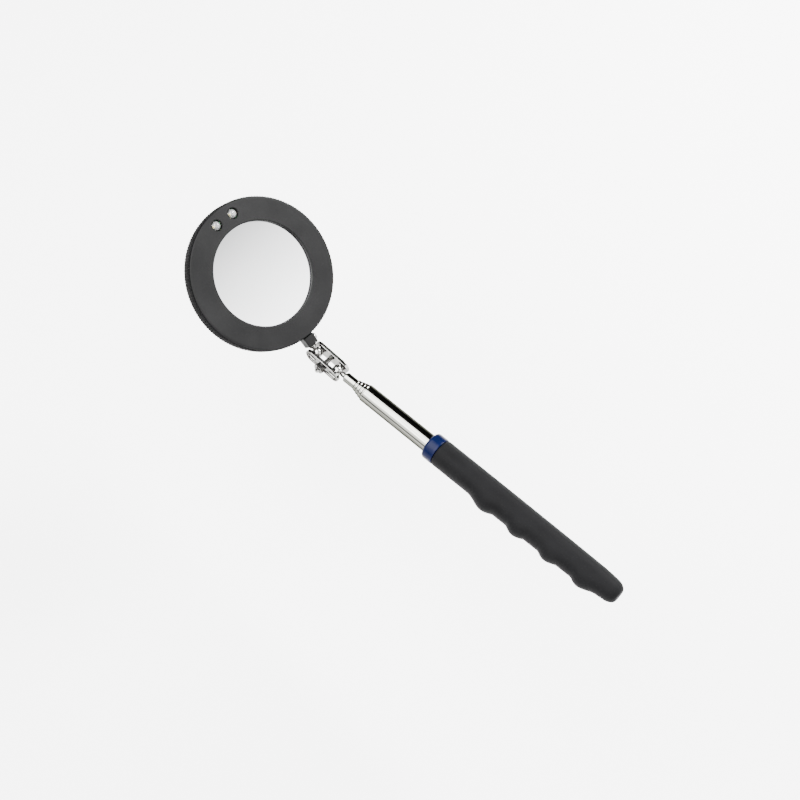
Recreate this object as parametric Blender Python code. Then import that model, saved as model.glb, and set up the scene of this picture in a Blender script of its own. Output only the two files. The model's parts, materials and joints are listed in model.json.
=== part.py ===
"""Telescoping inspection mirror: a round lighted mirror, a double-ball joint, a five-stage tube and a grip.

Lengths below are in millimetres and are turned into metres as each mesh is made. The handle frame has
its origin at the rod ball and +Z along the tube towards the butt. The plate frame has its origin at the
rod ball too, and the head frame at the head ball, both with +X towards the butt and +Z upwards.
"""

import math

import bmesh
import bpy
from mathutils import Matrix, Vector

mm = 0.001

# fits
restGap = 0.3  # between pieces that touch
slideGap = 0.2  # round a tube that slides
stopGap = 0.08  # round a tube at a crimped mouth
ballGap = 0.06

# head
headRadius = 41.3
headDepth = 9.5
faceLevel = 4.5  # front face above the neck's centre line
faceThick = 1.8
edgeRound = 1.1
wallThick = 2.0
floorThick = 1.3
wellWall = 1.0
mirrorRadius = 28.575
mirrorThick = 1.8
mirrorLip = 0.6  # how far the bezel covers the glass
padThick = 0.5
seamLevel = 1.8
toothCount = 168
toothDepth = 0.4
toothEnd = 0.9  # the teeth stop this far above the back
rebateDepth = 1.6
rebateWall = 1.4
postRadius = 2.4
postScrew = 1.0
postAngles = [50, 130, 230, 310]
postEnd = -2.0  # where the bezel's posts meet the shell's bosses
caseScrewHead = 2.0

# lights
lightRadius = 2.7
lightFlange = 3.1
lightSpread = 18.5  # degrees between the two lights, seen from the middle
lightCircle = 35.0
lightRise = 4.4  # top of each dome above the neck's centre line
boardThick = 1.0
boardTop = -1.8

# battery well and door
cellRadius = 10.0
cellThick = 1.6
cellCentre = -3.0
stripThick = 0.2
cupWall = 0.7
lugReach = 1.4
lugWidth = 4.0
coinSlot = (13.0, 1.6, 0.7)  # length, width and depth
doorThick = 1.2
doorFlange = 2.2

# switch
switchCentre = 21.0
switchTravel = 2.5
knobWidth = 3.2
knobRise = 1.2
switchSize = (5.2, 9.0)

# neck and ball joint
neckLength = 5.8  # how far the neck block stands out of the rim
neckFace = 5.2  # head ball to the neck block
neckWidth = 6.5
neckHeight = 6.6
neckCorner = 0.8
stemRadius = 1.5
stemDepth = 5.0
stemShoulder = 0.6  # how far the shoulder stands out from the stem
grooveRadius = 1.05
neckScrewRadius = 0.95
neckScrewHead = 2.2
neckScrewRise = 1.6
ballRadius = 3.0
ballSpacing = 15.3
plateWidth = 8.6
plateThick = 1.2
plateInner = 2.75  # joint's middle plane to a plate
rimHeight = 0.7
rimWidth = 0.75
seatWidth = 2.4
seatLength = 5.2
screwRadius = 1.45
screwHeadRadius = 2.5
screwHeadHeight = 1.3
screwEnd = 1.5
nutFlats = 5.5
nutThick = 2.4
washerThick = 0.5

# tube: the first radius, each stage's wall and where the mouths stand
tubeRadius = 5.1
stageWall = [0.4, 0.4, 0.4, 0.35, 0.75]
rodMouth = 6.3
narrowLength = 7.7
mouthStep = 2.2
crimpLength = 1.4
tubeTail = 185.0
tailStep = 6.0
guideLength = 12.0
bushLength = 3.0
spigotLength = 1.4
plugLength = 2.0
stemPlug = 7.0  # how far the swivelling neck reaches into the rod

# handle
collarFront = 67.3
collarLength = 7.0
collarWall = 2.55
collarRound = 1.6
gripLength = 116.2
gripWall = 2.45
gripTaper = 0.85  # how much the radius falls from the collar to the butt
flatDepth = 0.35  # how much of the collar the flat underside takes off
buttThick = 3.2
buttTaper = 14.0
buttRound = 4.6
buttFlat = 2.9  # radius of the flat in the middle of the butt
bumpCount = 4
bumpFirst = 35.5  # collar end of the grip to the first finger bump
bumpPitch = 20.5
bumpHeight = 2.7
bumpFade = 0.1  # each bump is lower than the one before it by this
bumpTurn = 20.0  # degrees below level that the bumps face
bumpFloor = 0.75  # height left between two bumps

# rest pose
jointRise = 6.0  # degrees that the plates rise towards the head
headTilt = 40.0  # degrees that the mirror is tipped up from the tube

turnSteps = 32
headSteps = 84


def clearScene():
    for obj in list(bpy.data.objects):
        bpy.data.objects.remove(obj)


def tilt(angle):
    return Matrix.Rotation(math.radians(angle), 4, "Y")


def move(x=0.0, y=0.0, z=0.0):
    return Matrix.Translation((x * mm, y * mm, z * mm))


def alongTube():
    """Turns a frame so that its +Z runs along +X."""
    return Matrix(((0, 0, 1, 0), (1, 0, 0, 0), (0, 1, 0, 0), (0, 0, 0, 1)))


def paint(obj, colour, roughness, metallic):
    material = bpy.data.materials.new(obj.name)
    material.use_nodes = True
    shader = material.node_tree.nodes["Principled BSDF"]
    shader.inputs["Base Color"].default_value = (*colour, 1.0)
    shader.inputs["Roughness"].default_value = roughness
    shader.inputs["Metallic"].default_value = metallic
    material.diffuse_color = (*colour, 1.0)
    obj.data.materials.append(material)


blackPlastic = ((0.045, 0.045, 0.047), 0.45, 0.0)
softBlack = ((0.03, 0.03, 0.032), 0.6, 0.0)
bluePlastic = ((0.02, 0.045, 0.2), 0.2, 0.0)
chrome = ((0.82, 0.83, 0.84), 0.08, 1.0)
nickel = ((0.62, 0.61, 0.6), 0.25, 1.0)
brass = ((0.75, 0.56, 0.25), 0.3, 1.0)
silvered = ((0.9, 0.91, 0.92), 0.02, 1.0)
clearResin = ((0.85, 0.87, 0.9), 0.08, 0.0)
greyFoam = ((0.3, 0.3, 0.3), 0.9, 0.0)
greenBoard = ((0.03, 0.18, 0.07), 0.5, 0.0)


def addObject(name, bm, frame, look=None, smooth=30.0):
    bmesh.ops.recalc_face_normals(bm, faces=bm.faces)
    bmesh.ops.scale(bm, vec=(mm, mm, mm), verts=bm.verts)
    mesh = bpy.data.meshes.new(name)
    bm.to_mesh(mesh)
    bm.free()
    mesh.shade_smooth()
    mesh.set_sharp_from_angle(angle=math.radians(smooth))
    obj = bpy.data.objects.new(name, mesh)
    bpy.context.scene.collection.objects.link(obj)
    obj.matrix_world = frame
    if look is None:
        obj.hide_render = True
        obj.display_type = "WIRE"
    else:
        paint(obj, *look)
    return obj


def combine(obj, other, operation):
    modifier = obj.modifiers.new(operation.title(), "BOOLEAN")
    modifier.operation = operation
    modifier.object = other
    modifier.solver = "EXACT"


def turned(profile, steps=turnSteps, at=(0.0, 0.0)):
    """A solid turned about Z from (radius, height) points. A profile that starts off the axis is a ring."""
    bm = bmesh.new()
    rings = []
    for radius, height in profile:
        if radius == 0:
            rings.append([bm.verts.new((at[0], at[1], height))])
            continue
        ring = []
        for step in range(steps):
            angle = math.tau * step / steps
            x = at[0] + radius * math.cos(angle)
            y = at[1] + radius * math.sin(angle)
            ring.append(bm.verts.new((x, y, height)))
        rings.append(ring)
    pairs = list(zip(rings, rings[1:]))
    if profile[0][0] > 0:
        pairs.append((rings[-1], rings[0]))
    for low, high in pairs:
        for step in range(steps):
            after = (step + 1) % steps
            corners = [low[step % len(low)], low[after % len(low)]]
            corners += [high[after % len(high)], high[step % len(high)]]
            bm.faces.new(list(dict.fromkeys(corners)))
    return bm


def prism(outline, low, high, axis="Z"):
    """A solid whose (a, b) outline is extruded from low to high along one axis."""
    bm = bmesh.new()
    place = {
        "Z": lambda a, b, c: (a, b, c),
        "Y": lambda a, b, c: (a, c, b),
        "X": lambda a, b, c: (c, a, b),
    }[axis]
    ends = [[bm.verts.new(place(a, b, c)) for a, b in outline] for c in (low, high)]
    bm.faces.new(ends[0])
    bm.faces.new(ends[1])
    count = len(outline)
    for i in range(count):
        j = (i + 1) % count
        bm.faces.new([ends[0][i], ends[0][j], ends[1][j], ends[1][i]])
    return bm


def box(low, high):
    corners = [(low[0], low[1]), (high[0], low[1]), (high[0], high[1]), (low[0], high[1])]
    return prism(corners, low[2], high[2])


def arc(centre, radius, start, end, steps):
    """Points on a circle's arc, in degrees."""
    points = []
    for step in range(steps + 1):
        angle = math.radians(start + (end - start) * step / steps)
        points.append((centre[0] + radius * math.cos(angle), centre[1] + radius * math.sin(angle)))
    return points


def obround(left, right, halfWidth, steps=10):
    return arc((left, 0), halfWidth, 90, 270, steps) + arc((right, 0), halfWidth, -90, 90, steps)


def wall(radius, thick, low, high):
    return [(radius, low), (radius, high), (radius - thick, high), (radius - thick, low)]


def plug(radius, low, high, steps=24, at=(0.0, 0.0)):
    return turned([(0, low), (radius, low), (radius, high), (0, high)], steps, at)


def merged(*meshes):
    """One mesh that holds several closed pieces."""
    whole = bmesh.new()
    for bm in meshes:
        copy = bpy.data.meshes.new("piece")
        bm.to_mesh(copy)
        bm.free()
        whole.from_mesh(copy)
        bpy.data.meshes.remove(copy)
    bmesh.ops.recalc_face_normals(whole, faces=whole.faces)
    return whole


# places worked out from the sizes above
neckReach = headRadius + neckLength + neckFace  # mirror centre to head ball
collarRadius = tubeRadius + collarWall
gripRadius = tubeRadius + gripWall
restFlat = collarRadius - flatDepth  # tube's centre line to the flat underside
plateOuter = plateInner + plateThick
jointMiddle = -ballSpacing / 2
lieTilt = math.degrees(
    math.acos(plateWidth / 2 / math.hypot(restFlat, collarFront + collarRound))
    - math.atan2(collarFront + collarRound, restFlat)
)
handleFrame = tilt(-lieTilt) @ alongTube()
plateFrame = tilt(jointRise - lieTilt)
headFrame = plateFrame @ move(x=-ballSpacing) @ tilt(headTilt - jointRise)
floorLevel = faceLevel - headDepth + floorThick
backLevel = faceLevel - headDepth
glassTop = faceLevel - faceThick - restGap
padTop = glassTop - mirrorThick - restGap
stripTop = padTop - padThick - restGap
cellTop = stripTop - stripThick - restGap
cupFloor = cellTop - 2 * cellThick - 2 * restGap
cupRadius = cellRadius + restGap + cupWall
shellInner = headRadius - wallThick
stages = len(stageWall)
stageRadius = [tubeRadius]
for thick in stageWall[:-1]:
    stageRadius.append(stageRadius[-1] - thick - slideGap)


def stageMouth(stage):
    """Distance from the rod ball to the mouth of a stage, 0 being the outer tube."""
    if stage == stages - 1:
        return rodMouth
    return rodMouth + narrowLength + (stages - 2 - stage) * mouthStep


def stageTail(stage):
    return tubeTail - stage * tailStep + (1.0 if stage else 0.0)


def inHead(bm):
    """Moves a mesh from the mirror's centre to the head frame's origin at the ball."""
    bmesh.ops.translate(bm, vec=(-neckReach, 0, 0), verts=bm.verts)
    return bm


def shellPosts():
    """Where the four case screws stand, from the mirror's centre."""
    reach = shellInner - 2.4 - restGap
    return [Vector((reach * math.cos(a), reach * math.sin(a))) for a in map(math.radians, postAngles)]


def lightPlaces():
    half = math.radians(lightSpread / 2)
    return [(-lightCircle * math.cos(half), side * lightCircle * math.sin(half)) for side in (-1, 1)]


def makeBezel():
    """Front ring with the mirror's lip, the holes for the lights and four posts for the case screws."""
    opening = mirrorRadius - mirrorLip
    under = faceLevel - faceThick
    rebate = mirrorRadius + restGap
    rebateOuter = rebate + rebateWall
    rebateLow = under - rebateDepth
    rim = headRadius - toothDepth
    profile = [(rim, seamLevel)]
    profile += arc((rim - edgeRound, faceLevel - edgeRound), edgeRound, 0, 90, 5)
    profile += [(opening + 0.6, faceLevel), (opening, faceLevel - 0.5), (opening, under)]
    profile += [(rebate, under), (rebate, rebateLow), (rebateOuter, rebateLow), (rebateOuter, under)]
    profile += [(shellInner, under), (shellInner, seamLevel)]
    bezel = addObject("bezel_ring", inHead(turned(profile, headSteps)), headFrame, blackPlastic)
    teeth = addObject("bezelTeeth", inHead(toothRing(seamLevel, faceLevel - edgeRound)), headFrame)
    combine(bezel, teeth, "UNION")
    for number, post in enumerate(shellPosts()):
        solid = plug(postRadius, postEnd, under + 0.5, 16, post)
        combine(bezel, addObject(f"bezelPost{number}", inHead(solid), headFrame), "UNION")
        hole = plug(postScrew + 0.1, postEnd - 1, seamLevel, 12, post)
        combine(bezel, addObject(f"bezelBore{number}", inHead(hole), headFrame), "DIFFERENCE")
    for number, place in enumerate(lightPlaces()):
        hole = plug(lightRadius + 0.25, under - 1, faceLevel + 1, 24, place)
        combine(bezel, addObject(f"lightHole{number}", inHead(hole), headFrame), "DIFFERENCE")


def toothRing(low, high):
    """A thin ring whose outside is cut into the fine teeth that run round the head."""
    bm = bmesh.new()
    fine = 2 * toothCount
    rings = []
    for inside, height in ((True, low), (False, low), (False, high), (True, high)):
        ring = []
        for step in range(fine):
            angle = math.tau * step / fine
            reach = headRadius - (1.5 if inside else 0.0)
            if not inside:
                reach -= (toothDepth + 0.05) * (step % 2)  # the gaps end just inside the ring they join
                reach -= 0.25 if height == high else 0.0
            ring.append(bm.verts.new((reach * math.cos(angle), reach * math.sin(angle), height)))
        rings.append(ring)
    for one, two in zip(rings, rings[1:] + rings[:1]):
        for step in range(fine):
            after = (step + 1) % fine
            bm.faces.new([one[step], one[after], two[after], two[step]])
    return bm


def makeMirror():
    edge = 0.3
    glassLow = glassTop - mirrorThick
    profile = [(0, glassLow), (mirrorRadius, glassLow), (mirrorRadius, glassTop - edge)]
    profile += [(mirrorRadius - edge, glassTop), (0, glassTop)]
    addObject("mirror_glass", inHead(turned(profile, headSteps)), headFrame, silvered)
    radius = mirrorRadius - 1.5
    profile = [(0, padTop - padThick), (radius, padTop - padThick), (radius, padTop), (0, padTop)]
    addObject("mirror_pad", inHead(turned(profile, 48)), headFrame, greyFoam)


def knurledPan():
    """The back shell's outside and inside, with fine teeth round its wall."""
    bm = bmesh.new()
    top = seamLevel - restGap
    fine = 2 * toothCount
    ratio = fine // headSteps

    def ring(count, height, radius, depth=0.0):
        made = []
        for step in range(count):
            angle = math.tau * step / count
            reach = radius - depth * (step % 2)
            made.append(bm.verts.new((reach * math.cos(angle), reach * math.sin(angle), height)))
        return made

    def bridge(one, two):
        count = len(one)
        for step in range(count):
            after = (step + 1) % count
            bm.faces.new([one[step], one[after], two[after], two[step]])

    def fan(coarse, fineRing):
        for step in range(headSteps):
            a, b = coarse[step], coarse[(step + 1) % headSteps]
            run = [fineRing[(ratio * step + i) % fine] for i in range(ratio + 1)]
            half = ratio // 2
            for i in range(half):
                bm.faces.new([a, run[i], run[i + 1]])
            bm.faces.new([a, run[half], b])
            for i in range(half, ratio):
                bm.faces.new([b, run[i], run[i + 1]])

    centres = [bm.verts.new((0, 0, backLevel)), bm.verts.new((0, 0, floorLevel))]
    back = ring(headSteps, backLevel, headRadius - 1.2)
    toothLow = ring(fine, backLevel + toothEnd, headRadius, toothDepth)
    toothHigh = ring(fine, top - 0.4, headRadius, toothDepth)
    lip = ring(headSteps, top, headRadius - 0.8)
    lipInner = ring(headSteps, top, shellInner)
    floorRing = ring(headSteps, floorLevel, shellInner)
    fan(back, toothLow)
    bridge(toothLow, toothHigh)
    fan(lip, toothHigh)
    bridge(lip, lipInner)
    bridge(lipInner, floorRing)
    for ringVerts, centre in ((back, centres[0]), (floorRing, centres[1])):
        for step in range(headSteps):
            bm.faces.new([ringVerts[step], ringVerts[(step + 1) % headSteps], centre])
    return bm


def makeShell():
    """Back shell: knurled pan, neck block, battery well, screw bosses, and the openings in its floor."""
    shell = addObject("back_shell", inHead(knurledPan()), headFrame, blackPlastic)
    half = neckWidth / 2
    corner = neckCorner
    tall = neckHeight / 2
    outline = arc((half - corner, tall - corner), corner, 0, 90, 3)
    outline += arc((corner - half, tall - corner), corner, 90, 180, 3)
    outline += arc((corner - half, corner - tall), corner, 180, 270, 3)
    outline += arc((half - corner, corner - tall), corner, 270, 360, 3)
    neckStart = -neckReach + shellInner - 1.0
    neck = addObject("neckBlock", prism(outline, neckStart, -neckFace, "X"), headFrame)
    combine(shell, neck, "UNION")
    seam = seamLevel - restGap
    room = turned(wall(headRadius + restGap, wallThick + 2.0, seam, faceLevel + 1), 60)
    combine(shell, addObject("bezelRoom", inHead(room), headFrame), "DIFFERENCE")
    well = cupRadius + lugReach + 0.4
    ring = turned(wall(well + wellWall, wellWall, floorLevel - 0.5, cellTop - 0.8), 48, (cellCentre, 0))
    combine(shell, addObject("wellRing", inHead(ring), headFrame), "UNION")
    for number, post in enumerate(shellPosts()):
        boss = plug(postRadius, floorLevel - 0.5, postEnd - restGap, 16, post)
        combine(shell, addObject(f"shellBoss{number}", inHead(boss), headFrame), "UNION")
        bore = postScrew + 0.15
        wide = caseScrewHead + 1.3
        hole = [(0, backLevel - 1.0), (wide, backLevel - 1.0), (bore, backLevel + 1.0), (bore, 0), (0, 0)]
        hole = inHead(turned(hole, 16, post))
        combine(shell, addObject(f"shellHole{number}", hole, headFrame), "DIFFERENCE")
    mouth = cupRadius + 0.3
    low = backLevel - 1
    opening = inHead(plug(mouth, low, floorLevel + 0.1, 48, (cellCentre, 0)))
    opening = addObject("doorOpening", opening, headFrame)
    notch = mouth + lugReach
    lane = lugWidth / 2 + 0.4
    cross = box((cellCentre - lane, -notch, low - 0.5), (cellCentre + lane, notch, floorLevel + 0.2))
    combine(opening, addObject("lugNotches", inHead(cross), headFrame), "UNION")
    combine(shell, opening, "DIFFERENCE")
    slotHalf = (knobWidth + switchTravel) / 2 + 0.4
    slot = box((switchCentre - 1.5, -slotHalf, low), (switchCentre + 1.5, slotHalf, floorLevel + 0.1))
    combine(shell, addObject("switchSlot", inHead(slot), headFrame), "DIFFERENCE")
    bore = stemRadius + slideGap
    depth = neckFace + stemDepth + restGap
    hole = prism(arc((0, 0), bore, 0, 342, 19), -depth, -neckFace + 1, "X")
    combine(shell, addObject("neckBore", hole, headFrame), "DIFFERENCE")
    bore = neckScrewRadius + 0.15
    hole = prism(arc((grooveMiddle(), 0), bore, 0, 337.5, 15), 0.5, half + 1, "Y")
    combine(shell, addObject("neckScrewHole", hole, headFrame), "DIFFERENCE")


def grooveMiddle():
    return -neckFace - stemDepth * 0.6


def makeLights():
    bottom = boardTop + restGap
    for side, place in zip(("left", "right"), lightPlaces()):
        domeStart = lightRise - lightRadius
        shoulder = bottom + 1.0
        profile = [(0, bottom), (lightFlange, bottom), (lightFlange, shoulder), (lightRadius, shoulder)]
        profile += arc((0, domeStart), lightRadius, 0, 90, 6)[:-1] + [(0, lightRise)]
        addObject(f"light_{side}", inHead(turned(profile, 24, place)), headFrame, clearResin)
    start, end = 180 - lightSpread, 180 + lightSpread
    outline = arc((0, 0), lightCircle + 3.4, start, end, 8) + arc((0, 0), lightCircle - 3.6, end, start, 8)
    addObject("light_board", inHead(prism(outline, boardTop - boardThick, boardTop)), headFrame, greenBoard)


def makeBatteries():
    for number, name in enumerate(("upper", "lower")):
        top = cellTop - number * (cellThick + restGap)
        low = top - cellThick
        profile = [(0, low), (cellRadius, low), (cellRadius, top - 0.4), (cellRadius - 1.0, top), (0, top)]
        addObject(f"battery_{name}", inHead(turned(profile, 40, (cellCentre, 0))), headFrame, nickel)


def makeStrips():
    """Three sprung strips that join the cells, the switch and the lights."""
    side = [(cellCentre + 4, stripTop), (-20, stripTop), (-27, boardTop + 0.5), (-33, boardTop + 0.5)]
    side += [(x, z - stripThick) for x, z in reversed(side)]
    addObject("top_contact", inHead(prism(side, -2, 2, "Y")), headFrame, brass)
    reach = cellCentre + cellRadius + restGap
    middle = cellTop - 0.3
    outline = [(reach, -2), (switchCentre, -2), (switchCentre, 2), (reach, 2)]
    addObject("side_contact", inHead(prism(outline, middle - stripThick, middle)), headFrame, brass)
    lane = cupRadius + lugReach + 3.0
    path = [(switchCentre - 1, 3), (switchCentre + 1, 3), (switchCentre + 1, lane + 2), (-31, lane + 2)]
    landing = -lightCircle + 1.5
    path += [(landing - 1, 11), (landing - 1, 9), (landing + 1, 9), (-29, lane), (switchCentre - 1, lane)]
    level = boardTop + restGap
    addObject("link_strip", inHead(prism(path, level, level + stripThick)), headFrame, brass)


def makeDoor():
    """Battery door: a flanged cup with two bayonet lugs and a coin slot. It turns about its own centre."""
    outer = cupFloor - doorThick
    lip = backLevel - restGap
    profile = [(0, outer), (cupRadius + doorFlange - 0.5, outer), (cupRadius + doorFlange, outer + 0.5)]
    profile += [(cupRadius + doorFlange, lip), (cupRadius, lip), (cupRadius, cellTop - 0.7)]
    profile += [(cupRadius - cupWall, cellTop - 0.7), (cupRadius - cupWall, cupFloor), (0, cupFloor)]
    frame = headFrame @ move(x=cellCentre - neckReach)
    door = addObject("battery_door", turned(profile, 48), frame, blackPlastic)
    low = floorLevel + restGap
    reach = cupRadius + lugReach - 0.3
    root = cupRadius - 0.4
    wide, tip = lugWidth / 2, lugWidth / 2 - 0.2
    lugs = []
    for side in (-1, 1):
        outline = [(-wide, side * root), (wide, side * root), (tip, side * reach), (-tip, side * reach)]
        lugs.append(prism(outline, low, low + 0.9))
    lugFrame = frame @ Matrix.Rotation(math.radians(90), 4, "Z")
    combine(door, addObject("doorLugs", merged(*lugs), lugFrame), "UNION")
    long, wide, deep = coinSlot
    slot = box((-long / 2, -wide / 2, outer - 1), (long / 2, wide / 2, outer + deep))
    combine(door, addObject("coinSlot", slot, frame), "DIFFERENCE")


def makeSwitch():
    top = stripTop - 1.2
    low = floorLevel + restGap
    across, long = switchSize[0] / 2, switchSize[1] / 2
    body = box((switchCentre - across, -long, low), (switchCentre + across, long, top))
    switch = addObject("switch_body", inHead(body), headFrame, blackPlastic)
    half = (knobWidth + switchTravel) / 2 + 0.2
    channel = box((switchCentre - 1.3, -half, low - 1), (switchCentre + 1.3, half, low + 1.2))
    combine(switch, addObject("switchChannel", inHead(channel), headFrame), "DIFFERENCE")
    start = -switchTravel / 2
    outer = backLevel - knobRise
    half = knobWidth / 2
    knob = box((switchCentre - 1.0, start - half, outer), (switchCentre + 1.0, start + half, low + 0.9))
    bmesh.ops.bevel(
        knob,
        geom=[e for e in knob.edges if all(v.co.z < backLevel for v in e.verts)],
        offset=0.35,
        segments=2,
        profile=0.5,
        affect="EDGES",
        material=-1,
    )
    addObject("switch_knob", inHead(knob), headFrame, softBlack)


def makeCaseScrews():
    for number, post in enumerate(shellPosts()):
        low = backLevel + 0.15
        profile = [(0, low), (caseScrewHead, low), (postScrew, low + 1.0), (postScrew, 0.9), (0, 1.3)]
        screw = addObject(f"case_screw_{number + 1}", inHead(turned(profile, 16, post)), headFrame, nickel)
        for turn, (long, wide) in enumerate(((1.3, 0.3), (0.3, 1.3))):
            cross = box((post.x - long, post.y - wide, low - 1), (post.x + long, post.y + wide, low + 0.5))
            combine(screw, addObject(f"crossCut{number}{turn}", inHead(cross), headFrame), "DIFFERENCE")


def makeNeckParts():
    """The stem that the head turns on, and the screw whose tip sits in the stem's groove."""
    half = stemRadius / 4
    groove = -grooveMiddle()
    end = neckFace + stemDepth
    profile = [(0, ballRadius + ballGap + 0.05), (stemRadius - 0.2, ballRadius + ballGap + 0.05)]
    shoulder = stemRadius + stemShoulder
    profile += [(stemRadius, ballRadius + 0.5), (stemRadius, 4.0), (shoulder, 4.1)]
    profile += [(shoulder, neckFace - restGap), (stemRadius, neckFace - restGap)]
    depth = neckScrewRadius + 0.2
    profile += [(stemRadius, groove - depth), (grooveRadius, groove - depth)]
    profile += [(grooveRadius, groove + depth), (stemRadius, groove + depth)]
    profile += [(stemRadius, end - half), (stemRadius - half, end), (0, end)]
    frame = headFrame @ Matrix.Rotation(math.pi, 4, "Z") @ alongTube()
    addObject("head_stem", turned(profile, 24), frame, nickel)
    seat = neckWidth / 2 + restGap
    profile = [(0, grooveRadius + 0.15), (neckScrewRadius, grooveRadius + 0.15), (neckScrewRadius, seat)]
    profile += [(neckScrewHead, seat), (neckScrewHead, seat + neckScrewRise * 0.4)]
    profile += [(neckScrewHead * 0.75, seat + neckScrewRise * 0.8), (0, seat + neckScrewRise)]
    across = Matrix.Rotation(math.radians(-90), 4, "X")
    frame = headFrame @ move(x=grooveMiddle()) @ across
    addObject("neck_screw", turned(profile, 24), frame, nickel)


def makeBalls():
    for name, frame in (("head_ball", headFrame), ("rod_ball", plateFrame)):
        profile = [(0, -ballRadius)] + arc((0, 0), ballRadius, -75, 75, 10) + [(0, ballRadius)]
        across = Matrix.Rotation(math.radians(90), 4, "X")
        addObject(name, turned(profile, 24), frame @ across, nickel)


def makePlates():
    """Two stamped clamp plates with rolled rims, ball seats and a hole for the tension screw."""
    outer = plateWidth / 2
    for name, side in (("clamp_plate_far", 1), ("clamp_plate_near", -1)):
        levels = sorted((side * plateInner, side * (plateOuter + rimHeight)))
        outline = obround(-ballSpacing, 0, outer)
        plate = addObject(name, prism(outline, *levels, "Y"), plateFrame, nickel)
        levels = sorted((side * plateOuter, side * (plateOuter + 3)))
        pocket = prism(obround(-ballSpacing, 0, outer - rimWidth), *levels, "Y")
        combine(plate, addObject(f"pocket{side}", pocket, plateFrame), "DIFFERENCE")
        levels = sorted((side * (plateInner - 1), side * (plateOuter + 1)))
        for number, centre in enumerate((-ballSpacing, 0)):
            straight = (seatLength - seatWidth) / 2
            seat = prism(obround(centre - straight, centre + straight, seatWidth / 2, 6), *levels, "Y")
            combine(plate, addObject(f"seat{side}{number}", seat, plateFrame), "DIFFERENCE")
        hole = prism(arc((jointMiddle, 0), screwRadius + 0.15, 0, 345, 23), *levels, "Y")
        combine(plate, addObject(f"plateHole{side}", hole, plateFrame), "DIFFERENCE")


def makeClampScrew():
    """Tension screw across the plates, with a spring washer and a hexagon nut."""
    across = Matrix.Rotation(math.radians(-90), 4, "X")
    frame = plateFrame @ move(x=jointMiddle) @ across
    seat = plateOuter + restGap
    washerTop = -seat
    nutTop = washerTop - washerThick - restGap
    nutLow = nutTop - nutThick
    tip = nutLow - screwEnd
    top = seat + screwHeadHeight
    profile = [(0, tip), (screwRadius - 0.3, tip), (screwRadius, tip + 0.4), (screwRadius, seat)]
    profile += [(screwHeadRadius, seat), (screwHeadRadius, seat + 0.4)]
    profile += [(screwHeadRadius * 0.8, seat + screwHeadHeight * 0.8)]
    profile += [(screwHeadRadius * 0.45, top), (0, top)]
    screw = addObject("tension_screw", turned(profile, 24), frame, nickel)
    for number, (long, wide) in enumerate(((1.5, 0.35), (0.35, 1.5))):
        cross = box((-long, -wide, top - 0.7), (long, wide, top + 1))
        combine(screw, addObject(f"driveCut{number}", cross, frame), "DIFFERENCE")
    ring = arc((0, 0), 2.6, 12, 348, 24) + arc((0, 0), screwRadius + 0.2, 348, 12, 24)
    addObject("spring_washer", prism(ring, washerTop - washerThick, washerTop), frame, nickel)
    corner = nutFlats / math.sqrt(3)
    nut = addObject("tension_nut", prism(arc((0, 0), corner, 0, 300, 5), nutLow, nutTop), frame, nickel)
    cone = 0.45
    for number, (level, way) in enumerate(((nutLow, 1), (nutTop, -1))):
        wide = corner + 1.0
        tip = level + way * cone
        profile = [(nutFlats / 2, level), (wide, level), (wide, tip + way * 0.3), (corner + 0.25, tip)]
        combine(nut, addObject(f"nutTrim{number}", turned(profile, 36), frame), "DIFFERENCE")
    bore = plug(screwRadius + 0.12, nutLow - 1, nutTop + 1)
    combine(nut, addObject("nutBore", bore, frame), "DIFFERENCE")


def makeRodStem():
    """The swivelling neck that plugs into the rod's front end."""
    start = ballRadius + ballGap + 0.05
    shank = stageRadius[-1] - stageWall[-1] - 0.1
    step, end = rodMouth - restGap, rodMouth + stemPlug
    profile = [(0, start), (stemRadius - 0.2, start), (stemRadius, start + 0.5), (stemRadius, step)]
    profile += [(shank, step), (shank, end), (0, end)]
    addObject("rod_stem", turned(profile, 24), handleFrame, nickel)


def makeStages():
    """The outer tube, three sliding sections and the rod, each with a crimped mouth and a stop bead."""
    names = ("outer_tube", "tube_section_2", "tube_section_3", "tube_section_4", "tube_rod")
    for stage, name in enumerate(names):
        radius = stageRadius[stage]
        bore = radius - stageWall[stage]
        mouth = stageMouth(stage)
        tail = stageTail(stage)
        profile = [(bore, tail), (radius, tail)]
        if stage:
            bead = tail - guideLength
            crest = stageRadius[stage - 1] - stageWall[stage - 1] - 0.1
            profile += [(radius, bead + 0.5), (crest, bead + 0.25)]
            profile += [(crest, bead - 0.25), (radius, bead - 0.5)]
        if stage < stages - 1:
            crimp = stageRadius[stage + 1] + stopGap
            profile += [(radius, mouth + crimpLength), (radius - 0.12, mouth + 0.4), (radius - 0.3, mouth)]
            profile += [(crimp, mouth), (crimp, mouth + 0.9), (bore, mouth + crimpLength)]
        else:
            profile += [(radius, mouth + 0.4), (radius - 0.4, mouth), (bore, mouth)]
        addObject(name, turned(profile), handleFrame, chrome)


def makeBushes():
    """The bush that closes and guides the tail of each sliding stage, and the outer tube's end plug."""
    for stage in range(1, stages):
        tail = stageTail(stage) + 0.2
        wide = stageRadius[stage - 1] - stageWall[stage - 1] - 0.1
        narrow = stageRadius[stage] - stageWall[stage] - 0.1
        profile = [(0, tail + bushLength), (wide - 0.3, tail + bushLength), (wide, tail + bushLength - 0.3)]
        profile += [(wide, tail), (narrow, tail), (narrow, tail - spigotLength), (0, tail - spigotLength)]
        addObject(f"guide_bush_{stage + 1}", turned(profile), handleFrame, brass)
    tail = stageTail(0) + restGap
    wide = stageRadius[0]
    narrow = stageRadius[0] - stageWall[0] - 0.15
    low, high = tail - spigotLength, tail + plugLength
    profile = [(0, high), (wide, high), (wide, tail), (narrow, tail), (narrow, low), (0, low)]
    addObject("tube_plug", turned(profile), handleFrame, blackPlastic)


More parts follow.
